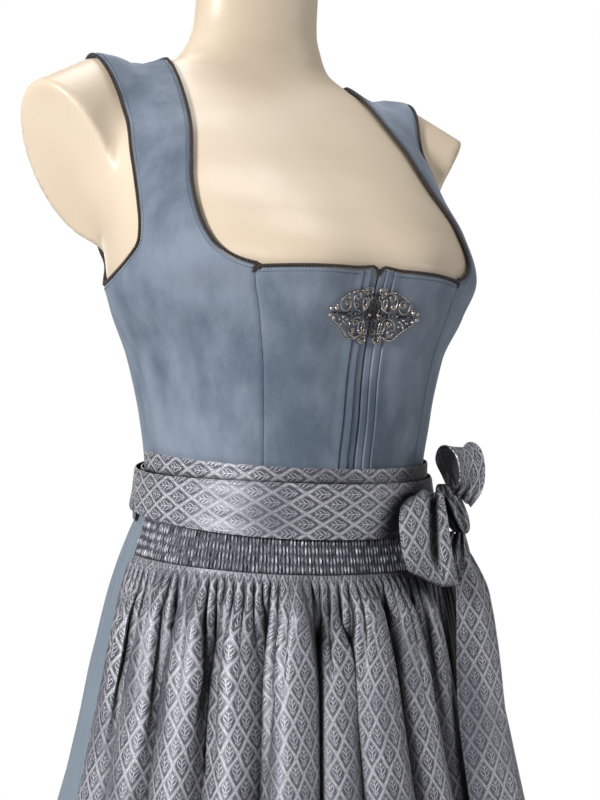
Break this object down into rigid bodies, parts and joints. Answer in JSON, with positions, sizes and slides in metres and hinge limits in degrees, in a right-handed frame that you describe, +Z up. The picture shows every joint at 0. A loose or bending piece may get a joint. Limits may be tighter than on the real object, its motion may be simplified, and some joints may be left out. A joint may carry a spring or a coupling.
{
  "type": "velvet dirndl on dress form",
  "caption": "Sleeveless velvet bodice, twill skirt and trellis jacquard apron with smocked waist and side bow, worn by a limbless dress form on a pole and round base.",
  "frame": {"origin": "centre of the base's flat underside, on the floor, in line with the pole", "axes": "+Z up along the pole, -Y the way the wearer faces, +X the wearer's left, where the bow is tied"},
  "size_m": [0.5734, 0.5669, 1.52],
  "materials": {
    "velvet": "short cut pile, soft sheen",
    "braid": "twisted dark brown cord",
    "twill": "plain satin twill",
    "jacquard": "woven trellis pattern, silver on grey satin",
    "clasp": "antique silver with dark patina",
    "form": "semi-gloss cream lacquer",
    "steel": "satin"
  },
  "bodies": {
    "root": {"front_centre_left": "velvet", "front_centre_right": "velvet", "front_side_left": "velvet", "front_side_right": "velvet", "side_back_left": "velvet", "side_back_right": "velvet", "back": "velvet", "armhole_braid_left": "braid", "armhole_braid_right": "braid", "neck_braid": "braid", "zip_tape": "braid", "clasp_left": "clasp", "clasp_right": "clasp", "skirt_front": "twill", "skirt_left": "twill", "skirt_back": "twill", "skirt_right": "twill", "apron_waistband": "jacquard", "apron_smocking": "jacquard", "apron_skirt": "jacquard", "tie_front": "jacquard", "tie_back": "jacquard", "tie_under": "jacquard", "bow_knot": "jacquard", "bow_loop_upper": "jacquard", "bow_loop_lower": "jacquard", "bow_tail_front": "jacquard", "bow_tail_side": "jacquard", "form_torso": "form", "form_stand": "steel"}
  },
  "joints": []
}
